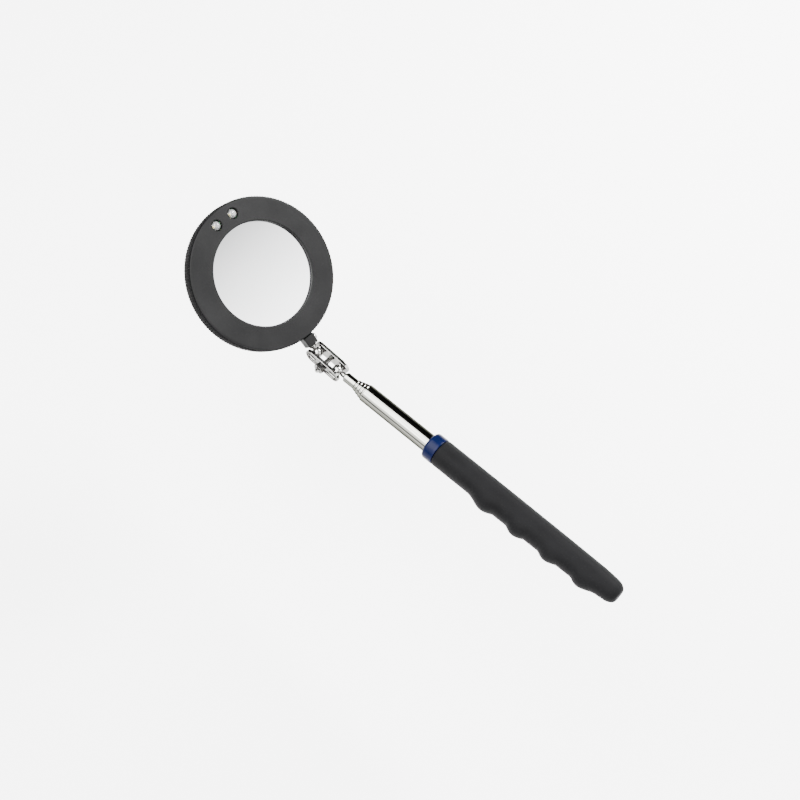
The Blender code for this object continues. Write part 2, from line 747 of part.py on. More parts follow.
def flatten(bm):
    """Presses the underside of a handle piece flat. Down is -Y in the handle frame."""
    for vert in bm.verts:
        vert.co.y = max(vert.co.y, -restFlat)
    return bm


def makeCollar():
    bore = stageRadius[0] + 0.15
    back = collarFront + collarLength
    profile = [(bore, back), (collarRadius, back)]
    profile += arc((collarFront + collarRound, collarRadius - collarRound), collarRound, 90, 180, 5)
    profile = profile[:2] + [(radius, height) for height, radius in profile[2:]] + [(bore, collarFront)]
    addObject("grip_collar", flatten(turned(profile, 40)), handleFrame, bluePlastic)


def gripShape(along):
    """(radius, bump height) of the grip at a distance from its collar end."""
    left = gripLength - along
    radius = gripRadius - gripTaper * (along / gripLength) ** 2
    if left < buttTaper:
        radius -= (1 - left / buttTaper) ** 1.5
    if left < buttRound:
        fall = 1 - math.sqrt(max(0.0, 1 - (1 - left / buttRound) ** 2))
        radius -= (radius - buttFlat) * fall
    bump = 0.0
    for number in range(bumpCount):
        reach = along - bumpFirst - number * bumpPitch
        rise = 0.55 if number == 0 else 0.4
        width = bumpPitch * (rise if reach < 0 else 0.48)
        if abs(reach) < width:
            height = bumpHeight - number * bumpFade
            bump = max(bump, height * (0.5 + 0.5 * math.cos(math.pi * reach / width)))
    if bumpFirst < along < bumpFirst + (bumpCount - 1) * bumpPitch:
        bump = max(bump, bumpFloor)
    return radius, bump


def makeGrip():
    """Cushion grip over the tube, with finger bumps down one side and a flat underside."""
    start = collarFront + collarLength + restGap
    steps = 40
    facing = math.radians(180 + bumpTurn)
    stations = [0.0, 6.0, 13.0, 20.0, 23.5]
    along = bumpFirst - bumpPitch * 0.45
    while along < gripLength - buttTaper - 2:
        stations.append(along)
        along += bumpPitch / 8
    stations += [gripLength - back for back in (buttTaper, 10, 7, buttRound, 3.4, 2.2, 1.2, 0.4, 0)]
    bm = bmesh.new()
    rings = []
    for along in stations:
        radius, bump = gripShape(along)
        ring = []
        for step in range(steps):
            angle = math.tau * step / steps
            swell = bump * max(0.0, math.cos(angle - facing)) ** 1.6
            reach = radius + swell
            ring.append(bm.verts.new((reach * math.cos(angle), reach * math.sin(angle), start + along)))
        rings.append(ring)
    flatten(bm)
    bore = stageRadius[0] + 0.15
    end = start + gripLength - buttThick
    for height in (end, start):
        ring = []
        for step in range(steps):
            angle = math.tau * step / steps
            ring.append(bm.verts.new((bore * math.cos(angle), bore * math.sin(angle), height)))
        rings.append(ring)
    order = [rings[-1]] + rings[:-2]
    for one, two in [*zip(order, order[1:]), (rings[-2], rings[-1])]:
        for step in range(steps):
            after = (step + 1) % steps
            bm.faces.new([one[step], one[after], two[after], two[step]])
    bm.faces.new(rings[-3])
    bm.faces.new(rings[-2])
    addObject("cushion_grip", bm, handleFrame, softBlack)


def standOnFloor():
    """Moves everything so that the nodes' box stands on the floor, centred on the origin."""
    corners = []
    for obj in bpy.data.objects:
        if not obj.hide_render:
            corners += [obj.matrix_world @ vert.co for vert in obj.data.vertices]
    low = [min(corner[axis] for corner in corners) for axis in range(3)]
    high = [max(corner[axis] for corner in corners) for axis in range(3)]
    shift = Vector((-(low[0] + high[0]) / 2, -(low[1] + high[1]) / 2, -low[2]))
    for obj in bpy.data.objects:
        obj.matrix_world = Matrix.Translation(shift) @ obj.matrix_world


clearScene()
makeBezel()
makeMirror()
makeShell()
makeLights()
makeBatteries()
makeStrips()
makeDoor()
makeSwitch()
makeCaseScrews()
makeNeckParts()
makeBalls()
makePlates()
makeClampScrew()
makeRodStem()
makeStages()
makeBushes()
makeCollar()
makeGrip()
bpy.context.view_layer.update()
standOnFloor()
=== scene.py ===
import json
import math

import bmesh
import bpy
from mathutils import Matrix, Vector


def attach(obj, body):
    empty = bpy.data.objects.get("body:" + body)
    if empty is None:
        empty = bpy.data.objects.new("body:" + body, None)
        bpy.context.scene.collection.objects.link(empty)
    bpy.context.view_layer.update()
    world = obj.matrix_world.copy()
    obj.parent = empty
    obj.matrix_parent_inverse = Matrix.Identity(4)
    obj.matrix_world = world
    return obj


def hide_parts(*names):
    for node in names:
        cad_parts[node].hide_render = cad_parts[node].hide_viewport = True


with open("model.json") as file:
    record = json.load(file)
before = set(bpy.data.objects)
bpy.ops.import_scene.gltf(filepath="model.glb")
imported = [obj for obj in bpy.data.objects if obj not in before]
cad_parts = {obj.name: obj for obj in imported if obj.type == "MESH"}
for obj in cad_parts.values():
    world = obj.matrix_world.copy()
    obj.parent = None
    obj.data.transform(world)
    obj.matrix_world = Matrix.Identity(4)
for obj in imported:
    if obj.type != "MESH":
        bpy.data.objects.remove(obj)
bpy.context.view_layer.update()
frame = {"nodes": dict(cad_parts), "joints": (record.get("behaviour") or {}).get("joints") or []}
mm = 0.001
mergeDistance = 0.0005  # millimetres
joints = {joint["name"]: joint for joint in frame["joints"]}


def frameFrom(origin, along, up):
    # a frame in millimetres at origin, with its x along and its z up
    side = up.cross(along)
    turn = Matrix((along, side, up)).transposed().to_4x4()
    return Matrix.Translation(origin) @ turn @ Matrix.Scale(mm, 4)


rodBall = Vector(joints["joint_spin"]["pos_m"])
headBall = Vector(joints["head_spin"]["pos_m"])
tubeAlong = Vector(joints["joint_spin"]["axis"])  # towards the butt
tubeUp = Vector(joints["lower_tilt"]["axis"])
headAlong = Vector(joints["head_spin"]["axis"])  # from the mirror's centre to the neck
headUp = Vector(joints["upper_tilt"]["axis"])
plateAlong = (rodBall - headBall).normalized()
plateUp = plateAlong.cross(Vector((0, 1, 0)))
handleFrame = frameFrom(rodBall, tubeAlong, tubeUp)
plateFrame = frameFrom(rodBall, plateAlong, plateUp)
ballFrame = frameFrom(headBall, headAlong, headUp)
acrossJoint = Matrix.Rotation(-math.pi / 2, 4, "X")  # a turned piece's own z becomes the frame's y

head = {
    "neckReach": 52.3,
    "radius": 41.3,
    "face": 4.5,
    "seam": 1.8,
    "back": -5.0,
    "opening": 27.975,
    "glassRadius": 28.575,
    "glassTop": 2.4,
    "glassThick": 1.8,
    "lightCircle": 35.0,
    "lightSpread": 18.5,
    "screwCircle": 36.6,
    "screwAngles": (50, 130, 230, 310),
}
headFrame = ballFrame @ Matrix.Translation((-head["neckReach"], 0, 0))
print("frame read")


def spun(points, steps=96):
    # turns (radius, height) points about z; a profile off the axis is closed into a ring
    bm = bmesh.new()
    verts = [bm.verts.new((radius, 0, height)) for radius, height in points]
    edges = [bm.edges.new(pair) for pair in zip(verts, verts[1:])]
    if points[0][0] > 0:
        edges.append(bm.edges.new((verts[-1], verts[0])))
    bmesh.ops.spin(
        bm, geom=verts + edges, cent=(0, 0, 0), axis=(0, 0, 1), angle=math.tau, steps=steps, use_merge=True
    )
    bmesh.ops.remove_doubles(bm, verts=bm.verts, dist=mergeDistance)
    bmesh.ops.recalc_face_normals(bm, faces=bm.faces)
    return bm


def arcPoints(centre, radius, start, end, steps):
    angles = [math.radians(start + (end - start) * step / steps) for step in range(steps + 1)]
    return [(centre[0] + radius * math.cos(a), centre[1] + radius * math.sin(a)) for a in angles]


def extruded(outline, low, high):
    # a solid from an (x, y) outline, standing from low to high along z
    bm = bmesh.new()
    face = bm.faces.new([bm.verts.new((x, y, low)) for x, y in outline])
    pulled = bmesh.ops.extrude_face_region(bm, geom=[face])["geom"]
    raised = [part for part in pulled if isinstance(part, bmesh.types.BMVert)]
    bmesh.ops.translate(bm, verts=raised, vec=(0, 0, high - low))
    bmesh.ops.recalc_face_normals(bm, faces=bm.faces)
    return bm


def block(low, high):
    bm = bmesh.new()
    bmesh.ops.create_cube(bm, size=1.0)
    bmesh.ops.scale(bm, verts=bm.verts, vec=[high[i] - low[i] for i in range(3)])
    bmesh.ops.translate(bm, verts=bm.verts, vec=[(high[i] + low[i]) / 2 for i in range(3)])
    return bm


def soften(bm, width, segments=3, within=None):
    # rounds the sharp edges, or those of them that are within a part of the mesh
    leastAngle = math.radians(35)
    sharp = [
        edge
        for edge in bm.edges
        if len(edge.link_faces) == 2
        and edge.calc_face_angle() > leastAngle
        and (within is None or all(within(v.co) for v in edge.verts))
    ]
    bmesh.ops.bevel(
        bm, geom=sharp, offset=width, segments=segments, profile=0.5, affect="EDGES", material=-1,
        clamp_overlap=True,
    )
    return bm


def moved(bm, x=0.0, y=0.0):
    bmesh.ops.translate(bm, verts=bm.verts, vec=(x, y, 0))
    return bm


def turnedBy(bm, angle, axis):
    turn = Matrix.Rotation(math.radians(angle), 3, axis)
    bmesh.ops.rotate(bm, verts=bm.verts, cent=(0, 0, 0), matrix=turn)
    return bm


def pressIn(vert, press):
    # moves a point of a turned piece towards its axis
    reach = math.hypot(vert.co.x, vert.co.y)
    vert.co.x *= 1 - press / reach
    vert.co.y *= 1 - press / reach


def meshObject(name, bm):
    mesh = bpy.data.meshes.new(name)
    bm.to_mesh(mesh)
    bm.free()
    obj = bpy.data.objects.new(name, mesh)
    bpy.context.scene.collection.objects.link(obj)
    return obj


def carved(bm, cutters, operation="DIFFERENCE"):
    # cuts each mesh from bm in turn, or keeps what they share, and gives the result back as a bmesh
    target = meshObject("carving", bm)
    helpers = [meshObject("cutter", cutter) for cutter in cutters]
    for helper in helpers:
        modifier = target.modifiers.new("cut", "BOOLEAN")
        modifier.operation = operation
        modifier.object = helper
    bpy.context.view_layer.update()
    result = bmesh.new()
    result.from_object(target, bpy.context.evaluated_depsgraph_get())
    for obj in [target, *helpers]:
        mesh = obj.data
        bpy.data.objects.remove(obj)
        bpy.data.meshes.remove(mesh)
    bmesh.ops.remove_doubles(result, verts=result.verts, dist=mergeDistance)
    return result


def finishPiece(name, bm, place, body, material, replaces=(), smooth=32):
    bmesh.ops.transform(bm, verts=bm.verts, matrix=place)
    bmesh.ops.recalc_face_normals(bm, faces=bm.faces)
    piece = meshObject(name, bm)
    piece.data.shade_smooth()
    piece.data.set_sharp_from_angle(angle=math.radians(smooth))
    piece.data.materials.append(material)
    shading = piece.modifiers.new("shading", "WEIGHTED_NORMAL")  # keeps flat faces flat beside soft edges
    shading.keep_sharp = True
    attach(piece, body)
    if replaces:
        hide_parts(*replaces)
    return piece


def steelPiece(name, bm, place, body, node, smooth=32):
    return finishPiece(name, bm, place, body, finish["nickel"], [node], smooth)


def opaque(colour):
    return (*colour, 1.0)


def newNode(tree, kind, inputs=None, **settings):
    # inputs gives socket values by name or number, and settings the node's own properties
    node = tree.nodes.new(kind)
    for name, value in settings.items():
        setattr(node, name, value)
    for socket, value in (inputs or {}).items():
        node.inputs[socket].default_value = value
    return node


def newGroup(name, inputs, outputs):
    tree = bpy.data.node_groups.new(name, "ShaderNodeTree")
    for label, value in inputs:
        socket = tree.interface.new_socket(label, in_out="INPUT", socket_type="NodeSocketFloat")
        socket.default_value = value
    for label in outputs:
        tree.interface.new_socket(label, in_out="OUTPUT", socket_type="NodeSocketFloat")
    return tree, tree.nodes.new("NodeGroupInput"), tree.nodes.new("NodeGroupOutput")


def makeGrainGroup():
    # moulded grain: fine pebbling, a broad drift of shine and small specks
    scales = [("Pebble", 3000.0), ("Drift", 60.0), ("Speck", 900.0)]
    tree, source, out = newGroup("mouldGrain", scales, ("Height", "Shine", "Specks"))
    coords = newNode(tree, "ShaderNodeTexCoord")
    pebble = newNode(tree, "ShaderNodeTexNoise", {"Detail": 3.0})
    drift = newNode(tree, "ShaderNodeTexNoise", {"Detail": 4.0})
    speck = newNode(tree, "ShaderNodeTexVoronoi")
    ramp = newNode(
        tree, "ShaderNodeMapRange", {"From Min": 0.05, "From Max": 0.16, "To Min": 1.0, "To Max": 0.0}
    )
    for texture, label in ((pebble, "Pebble"), (drift, "Drift"), (speck, "Speck")):
        tree.links.new(coords.outputs["Object"], texture.inputs["Vector"])
        tree.links.new(source.outputs[label], texture.inputs["Scale"])
    tree.links.new(speck.outputs["Distance"], ramp.inputs["Value"])
    tree.links.new(pebble.outputs["Fac"], out.inputs["Height"])
    tree.links.new(drift.outputs["Fac"], out.inputs["Shine"])
    tree.links.new(ramp.outputs["Result"], out.inputs["Specks"])
    return tree


def makePlatingGroup():
    # plated metal: polishing lines drawn out one way, a cloudy film and faint scratches
    scales = [("Lines", 900.0), ("Film", 90.0)]
    tree, source, out = newGroup("platedMetal", scales, ("Lines", "Film", "Scratches"))
    stretch = tree.interface.new_socket("Stretch", in_out="INPUT", socket_type="NodeSocketVector")
    stretch.default_value = (1.0, 1.0, 1.0)
    coords = newNode(tree, "ShaderNodeTexCoord")
    drawn = newNode(tree, "ShaderNodeVectorMath", operation="MULTIPLY")
    lines = newNode(tree, "ShaderNodeTexNoise", {"Detail": 2.0})
    film = newNode(tree, "ShaderNodeTexNoise", {"Detail": 5.0})
    slant = newNode(tree, "ShaderNodeMapping", {"Rotation": (0.4, 0.9, 0.3), "Scale": (1.0, 0.03, 1.0)})
    scratch = newNode(tree, "ShaderNodeTexNoise", {"Scale": 700.0})
    ramp = newNode(tree, "ShaderNodeMapRange", {"From Min": 0.66, "From Max": 0.74})
    tree.links.new(coords.outputs["Object"], drawn.inputs[0])
    tree.links.new(source.outputs["Stretch"], drawn.inputs[1])
    tree.links.new(drawn.outputs["Vector"], lines.inputs["Vector"])
    tree.links.new(source.outputs["Lines"], lines.inputs["Scale"])
    tree.links.new(coords.outputs["Object"], film.inputs["Vector"])
    tree.links.new(source.outputs["Film"], film.inputs["Scale"])
    tree.links.new(coords.outputs["Object"], slant.inputs["Vector"])
    tree.links.new(slant.outputs["Vector"], scratch.inputs["Vector"])
    tree.links.new(scratch.outputs["Fac"], ramp.inputs["Value"])
    tree.links.new(lines.outputs["Fac"], out.inputs["Lines"])
    tree.links.new(film.outputs["Fac"], out.inputs["Film"])
    tree.links.new(ramp.outputs["Result"], out.inputs["Scratches"])
    return tree


grainGroup = makeGrainGroup()
platingGroup = makePlatingGroup()
grainDepth, lineDepth = 0.0001, 0.00003  # bump distances, metres


def ranged(tree, value, low, high):
    # spreads the middle of a noise texture over low to high
    limits = {"From Min": 0.3, "From Max": 0.7, "To Min": low, "To Max": high}
    node = newNode(tree, "ShaderNodeMapRange", limits)
    tree.links.new(value, node.inputs["Value"])
    return node.outputs["Result"]


def mixedColour(tree, mask, base, other):
    mix = newNode(tree, "ShaderNodeMix", data_type="RGBA")
    mix.inputs["A"].default_value = opaque(base)
    mix.inputs["B"].default_value = opaque(other)
    tree.links.new(mask, mix.inputs["Factor"])
    return mix.outputs["Result"]


def bumped(tree, shader, height, strength, distance):
    bump = newNode(tree, "ShaderNodeBump", {"Strength": strength, "Distance": distance})
    tree.links.new(height, bump.inputs["Height"])
    tree.links.new(bump.outputs["Normal"], shader.inputs["Normal"])


def newMaterial(name, inputs):
    material = bpy.data.materials.new(name)
    material.use_nodes = True
    tree = material.node_tree
    shader = tree.nodes["Principled BSDF"]
    for label, value in inputs.items():
        shader.inputs[label].default_value = value
    return material, tree, shader


def mouldedFinish(name, look):
    material, tree, shader = newMaterial(name, {
        "Specular IOR Level": look.get("gloss", 0.5),
        "Coat Weight": look.get("coat", 0.0),
        "Coat Roughness": 0.08,
    })
    scales = {"Pebble": look["pebble"], "Drift": look["drift"], "Speck": look["speck"]}
    grain = newNode(tree, "ShaderNodeGroup", scales, node_tree=grainGroup)
    shine = ranged(tree, grain.outputs["Shine"], 0, 1)
    dusty = newNode(tree, "ShaderNodeMix", data_type="RGBA")
    dusty.inputs["B"].default_value = opaque(look["dust"])
    amount = newNode(tree, "ShaderNodeMath", {1: look["dustAmount"]}, operation="MULTIPLY")
    tree.links.new(grain.outputs["Specks"], amount.inputs[0])
    tree.links.new(amount.outputs["Value"], dusty.inputs["Factor"])
    tree.links.new(mixedColour(tree, shine, look["dark"], look["light"]), dusty.inputs["A"])
    tree.links.new(dusty.outputs["Result"], shader.inputs["Base Color"])
    tree.links.new(ranged(tree, grain.outputs["Shine"], *look["rough"]), shader.inputs["Roughness"])
    bumped(tree, shader, grain.outputs["Height"], look["bump"], grainDepth)
    return material


def platedFinish(name, look):
    material, tree, shader = newMaterial(name, {
        "Metallic": 1.0,
        "Specular Tint": opaque([look.get("edge", 1.0)] * 3),  # below 1, it darkens what is seen at a slant
    })
    if "lacquer" in look:  # smoky clear coat, which is deeper where it is seen at a slant
        shader.inputs["Coat Weight"].default_value = 1.0
        shader.inputs["Coat IOR"].default_value = 1.0
        shader.inputs["Coat Tint"].default_value = opaque(look["lacquer"])
    scales = {"Lines": look["lines"], "Film": look["film"], "Stretch": look["stretch"]}
    plating = newNode(tree, "ShaderNodeGroup", scales, node_tree=platingGroup)
    streaks = newNode(tree, "ShaderNodeMath", {1: look["streaks"]}, operation="MULTIPLY_ADD")
    clouds = newNode(tree, "ShaderNodeMath", {1: 1 - look["streaks"]}, operation="MULTIPLY")
    worn = newNode(tree, "ShaderNodeMath", {1: look["scratch"]}, operation="MULTIPLY_ADD")
    tree.links.new(plating.outputs["Lines"], streaks.inputs[0])
    tree.links.new(plating.outputs["Film"], clouds.inputs[0])
    tree.links.new(clouds.outputs["Value"], streaks.inputs[2])
    mask = ranged(tree, streaks.outputs["Value"], 0, 1)
    tree.links.new(mixedColour(tree, mask, look["dark"], look["light"]), shader.inputs["Base Color"])
    tree.links.new(plating.outputs["Scratches"], worn.inputs[0])
    tree.links.new(ranged(tree, plating.outputs["Film"], *look["rough"]), worn.inputs[2])
    tree.links.new(worn.outputs["Value"], shader.inputs["Roughness"])
    bumped(tree, shader, plating.outputs["Lines"], look["bump"], lineDepth)
    return material


def resinFinish(name, look):
    # clear moulded resin with a few faint flow marks
    material, tree, shader = newMaterial(name, {"Transmission Weight": look["clear"], "IOR": look["ior"]})
    scales = {"Pebble": look["pebble"], "Drift": look["drift"]}
    grain = newNode(tree, "ShaderNodeGroup", scales, node_tree=grainGroup)
    colour = mixedColour(tree, grain.outputs["Shine"], look["dark"], look["light"])
    tree.links.new(colour, shader.inputs["Base Color"])
    tree.links.new(ranged(tree, grain.outputs["Shine"], *look["rough"]), shader.inputs["Roughness"])
    bumped(tree, shader, grain.outputs["Height"], look["bump"], grainDepth)
    return material


def makeFinishes():
    alongTube, aroundTube, allWays = (0.015, 1.0, 1.0), (1.0, 0.05, 0.05), (1.0, 1.0, 1.0)
    return {
        "bezel": mouldedFinish("satin_black_plastic", {
            "dark": (0.0042, 0.0042, 0.0043), "light": (0.0068, 0.0068, 0.0069),
            "dust": (0.025, 0.025, 0.025), "dustAmount": 0.3, "pebble": 2600.0, "drift": 45.0,
            "speck": 1300.0, "rough": (0.42, 0.52), "bump": 0.4, "gloss": 0.05,
        }),
        # the toothed wall's finish: rougher and duller as the teeth are, and a darker colour than the face as
        # painted shade along the side wall
        "knurl_painted_shade": mouldedFinish("knurled_black_plastic_painted_shade", {
            "dark": (0.0014, 0.0014, 0.0014), "light": (0.0024, 0.0024, 0.0025),
            "dust": (0.01, 0.01, 0.01), "dustAmount": 0.15, "pebble": 2200.0, "drift": 90.0,
            "speck": 700.0, "rough": (0.55, 0.7), "bump": 0.3, "gloss": 0.012,
        }),
        "shell": mouldedFinish("matte_black_plastic", {
            "dark": (0.003, 0.003, 0.0031), "light": (0.005, 0.005, 0.005),
            "dust": (0.02, 0.02, 0.02), "dustAmount": 0.15, "pebble": 2600.0, "drift": 60.0,
            "speck": 700.0, "rough": (0.42, 0.56), "bump": 0.3, "gloss": 0.06,
        }),
        "grip": mouldedFinish("cushion_grip_rubber", {
            "dark": (0.0014, 0.0014, 0.0016), "light": (0.003, 0.003, 0.0033),
            "dust": (0.02, 0.02, 0.02), "dustAmount": 0.3, "pebble": 1700.0, "drift": 80.0,
            "speck": 900.0, "rough": (0.56, 0.68), "bump": 0.7, "gloss": 0.045,
        }),
        "collar": mouldedFinish("blue_collar_plastic", {
            "dark": (0.0006, 0.0017, 0.0125), "light": (0.001, 0.0026, 0.018),
            "dust": (0.01, 0.015, 0.04), "dustAmount": 0.1, "pebble": 900.0, "drift": 120.0,
            "speck": 900.0, "rough": (0.22, 0.3), "bump": 0.05, "gloss": 0.05,
        }),
        "board": mouldedFinish("green_light_board", {
            "dark": (0.012, 0.09, 0.03), "light": (0.02, 0.14, 0.05),
            "dust": (0.5, 0.42, 0.2), "dustAmount": 0.7, "pebble": 1500.0, "drift": 300.0,
            "speck": 420.0, "rough": (0.3, 0.45), "bump": 0.2, "coat": 0.4,
        }),
        "foam": mouldedFinish("grey_pad_foam", {
            "dark": (0.2, 0.2, 0.2), "light": (0.32, 0.32, 0.32),
            "dust": (0.08, 0.08, 0.08), "dustAmount": 0.8, "pebble": 1600.0, "drift": 200.0,
            "speck": 1400.0, "rough": (0.8, 0.95), "bump": 0.8,
        }),
        "phosphor": mouldedFinish("chip_phosphor", {
            "dark": (0.75, 0.62, 0.12), "light": (0.85, 0.75, 0.25),
            "dust": (0.9, 0.85, 0.5), "dustAmount": 0.4, "pebble": 4000.0, "drift": 900.0,
            "speck": 3000.0, "rough": (0.5, 0.7), "bump": 0.3,
        }),
        "resin": resinFinish("clear_light_resin", {
            "dark": (0.8, 0.81, 0.82), "light": (0.95, 0.95, 0.95), "pebble": 900.0, "drift": 240.0,
            "rough": (0.02, 0.07), "bump": 0.05, "clear": 0.88, "ior": 1.5,
        }),
        "chrome": platedFinish("chromed_tube", {
            "dark": (0.6, 0.6, 0.6), "light": (0.98, 0.98, 0.98), "lines": 900.0, "film": 60.0,
            "stretch": alongTube, "streaks": 0.85, "rough": (0.04, 0.08), "scratch": 0.1, "bump": 0.05,
            "edge": 0.0, "lacquer": (0.29, 0.29, 0.268),
        }),
        "nickel": platedFinish("nickelled_steel", {
            "dark": (0.16, 0.158, 0.153), "light": (0.36, 0.357, 0.347), "lines": 1800.0, "film": 260.0,
            "stretch": aroundTube, "streaks": 0.5, "rough": (0.1, 0.2), "scratch": 0.15, "bump": 0.12,
            "edge": 0.2,
        }),
        "brass": platedFinish("spring_brass", {
            "dark": (0.6, 0.42, 0.16), "light": (0.78, 0.6, 0.28), "lines": 1500.0, "film": 200.0,
            "stretch": alongTube, "streaks": 0.5, "rough": (0.22, 0.36), "scratch": 0.2, "bump": 0.12,
        }),
        "cell": platedFinish("cell_can_steel", {
            "dark": (0.5, 0.5, 0.49), "light": (0.62, 0.62, 0.61), "lines": 1200.0, "film": 140.0,
            "stretch": aroundTube, "streaks": 0.4, "rough": (0.2, 0.32), "scratch": 0.18, "bump": 0.08,
        }),
        "mirror": platedFinish("silvered_glass", {
            "dark": (0.86, 0.87, 0.875), "light": (0.9, 0.905, 0.91), "lines": 300.0, "film": 40.0,
            "stretch": allWays, "streaks": 0.2, "rough": (0.02, 0.04), "scratch": 0.02, "bump": 0.0,
        }),
    }


finish = makeFinishes()
print("finishes made")

bezel = {
    "edgeRound": 1.1, "thick": 1.8, "wall": 2.0, "lipChamfer": 0.45, "holeRadius": 2.95, "holeChamfer": 0.25,
}
teeth = {"count": 168, "depth": 0.4, "wallBand": 0.2, "finishBand": 0.5}
steps = {"head": 4 * teeth["count"], "glass": 192, "light": 64, "hole": 40}  # round each piece


def lightPlaces():
    half = math.radians(head["lightSpread"] / 2)
    reach = head["lightCircle"]
    sides = (("left", -1), ("right", 1))
    return {side: (-reach * math.cos(half), way * reach * math.sin(half)) for side, way in sides}


def screwPlaces():
    reach = head["screwCircle"]
    return [(reach * math.cos(a), reach * math.sin(a)) for a in map(math.radians, head["screwAngles"])]


def pressTeeth(bm, low, high):
    # presses the gaps between the fine teeth into the outside of the head's wall
    for vert in bm.verts:
        reach = math.hypot(vert.co.x, vert.co.y)
        if reach > head["radius"] - teeth["wallBand"] and low < vert.co.z < high:
            turn = math.atan2(vert.co.y, vert.co.x) * teeth["count"]
            pressIn(vert, teeth["depth"] * (0.5 - 0.5 * math.cos(turn)))


def knurlWall(bm, top):
    # gives the toothed wall below top the second finish: duller as the teeth are, and darker than the face as
    # painted shade on the side wall
    least = head["radius"] - teeth["depth"] - teeth["finishBand"]
    for side in bm.faces:
        centre = side.calc_center_median()
        if math.hypot(centre.x, centre.y) > least and centre.z < top:
            side.material_index = 1
    return bm


def makeBezel():
    # the profile runs up the toothed wall, over the rounded edge, across the face and down the lip
    face, under = head["face"], head["face"] - bezel["thick"]
    edge, chamfer, inner = bezel["edgeRound"], bezel["lipChamfer"], head["radius"] - bezel["wall"]
    radius, seam, opening = head["radius"], head["seam"], head["opening"]
    rim = radius - teeth["depth"]
    points = [(radius - 0.12, seam), (radius, seam + 0.12), (radius, face - edge - 0.25)]
    points += [(radius - 0.1, face - edge - 0.05)]
    points += arcPoints((rim - edge, face - edge), edge, 8, 90, 8)
    points += [(opening + chamfer + 0.3, face), (opening + chamfer + 0.1, face - 0.03)]
    points += [(opening + 0.04, face - chamfer), (opening, face - chamfer - 0.15), (opening, under + 0.1)]
    points += [(opening + 0.1, under), (inner, under), (inner, seam)]
    ring = spun(points, steps["head"])
    pressTeeth(ring, seam - 1, face - edge)
    hole, flare = bezel["holeRadius"], bezel["holeChamfer"]
    cut = [(0, under - 1), (hole, under - 1), (hole, face - flare), (hole + 0.08, face - flare * 0.6)]
    cut += [(hole + flare, face), (hole + flare + 0.02, face + 1), (0, face + 1)]
    cutters = [moved(spun(cut, steps["light"]), x, y) for x, y in lightPlaces().values()]
    piece = knurlWall(carved(ring, cutters), face - 0.6 * edge)
    ring = finishPiece(
        "bezelRing", piece, headFrame, "head", finish["bezel"], ["bezel_ring"]
    )
    ring.data.materials.append(finish["knurl_painted_shade"])


def makeMirrorGlass():
    low, top, radius = head["glassTop"] - head["glassThick"], head["glassTop"], head["glassRadius"]
    points = [(0, low), (radius - 0.25, low), (radius, low + 0.25), (radius, top - 0.3)]
    points += [(radius - 0.3, top), (0, top)]
    finishPiece(
        "mirrorGlass", spun(points, steps["glass"]), headFrame, "head", finish["mirror"], ["mirror_glass"],
    )


shell = {
    "wall": 2.0, "floor": 1.3, "seamGap": 0.3, "doorMouth": 11.3, "doorCentre": -3.0, "notch": 12.7,
    "notchHalf": 2.4, "switchCentre": 21.0, "switchHalf": (1.5, 3.25),
}


def makeBackShell():
    # the profile runs out across the back, round its edge, up the toothed wall and down inside
    back, top = head["back"], head["seam"] - shell["seamGap"]
    radius, inner = head["radius"], head["radius"] - shell["wall"]
    floor = back + shell["floor"]
    points = [(0, back), (radius - 2.2, back), (radius - 1.6, back + 0.08), (radius - 0.9, back + 0.5)]
    points += [(radius - 0.35, back + 0.9), (radius, back + 1.1), (radius, top - 0.5)]
    points += [(radius - 0.25, top - 0.15), (radius - 0.5, top), (inner, top), (inner, floor), (0, floor)]
    pan = spun(points, steps["head"])
    pressTeeth(pan, back + 1.0, top)
    low, mouth, middle = back - 1, shell["doorMouth"], shell["doorCentre"]
    notch, notchHalf = shell["notch"], shell["notchHalf"]
    slide, (across, along) = shell["switchCentre"], shell["switchHalf"]
    cutters = [moved(spun([(0, low), (mouth, low), (mouth, 0), (0, 0)]), middle)]
    cutters.append(block((middle - notchHalf, -notch, low), (middle + notchHalf, notch, 0)))
    cutters.append(soften(block((slide - across, -along, low), (slide + across, along, 0)), 0.4))
    hole = [(0, low), (3.3, low), (2.1, back + 0.12), (1.15, back + 1.0), (1.15, 0), (0, 0)]
    cutters += [moved(spun(hole, steps["hole"]), x, y) for x, y in screwPlaces()]
    piece = knurlWall(carved(pan, cutters), top)
    pan = finishPiece(
        "backShell", piece, headFrame, "head", finish["shell"], ["back_shell"], 28
    )
    pan.data.materials.append(finish["knurl_painted_shade"])


neck = {
    "inset": 2.0, "face": 5.2, "width": 6.5, "height": 6.6, "round": 0.7, "split": 0.25, "splitDepth": 3.2,
    "screwBack": 8.2, "screwHole": 1.2, "wallGap": 0.3,
}


def makeNeckBlock():
    start, end = head["radius"] - neck["inset"], head["neckReach"] - neck["face"]
    half, tall = neck["width"] / 2, neck["height"] / 2
    body = block((start, -half, -tall), (end, half, tall))
    soften(body, neck["round"], 4, within=lambda co: co.x > start - 1)
    seam, wall, inside = head["seam"] - shell["seamGap"], head["radius"] + neck["wallGap"], start - 2
    room = spun([(inside, seam), (wall, seam), (wall, 9), (inside, 9)])  # keeps clear of the bezel
    bore = turnedBy(spun([(0, -6), (1.7, -6), (1.7, 0.6), (2.1, 1.2), (0, 1.2)], steps["hole"]), 90, "Y")
    moved(bore, end - 0.9)
    width = neck["screwHole"]
    screwHole = turnedBy(spun([(0, -0.5), (width, -0.5), (width, half + 1), (0, half + 1)], 32), -90, "X")
    moved(screwHole, head["neckReach"] - neck["screwBack"])
    split = block((end - neck["splitDepth"], -half - 1, -neck["split"]), (end + 1, half + 1, neck["split"]))
    piece = carved(body, [room, bore, screwHole, split])
    finishPiece("neckBlock", piece, headFrame, "head", finish["shell"])


light = {
    "radius": 2.7, "flange": 3.1, "flangeRound": 0.2, "bottom": -1.5, "top": 4.4,
    "chipHalf": 0.35, "chipLow": 0.32, "chipTop": 0.55,
}


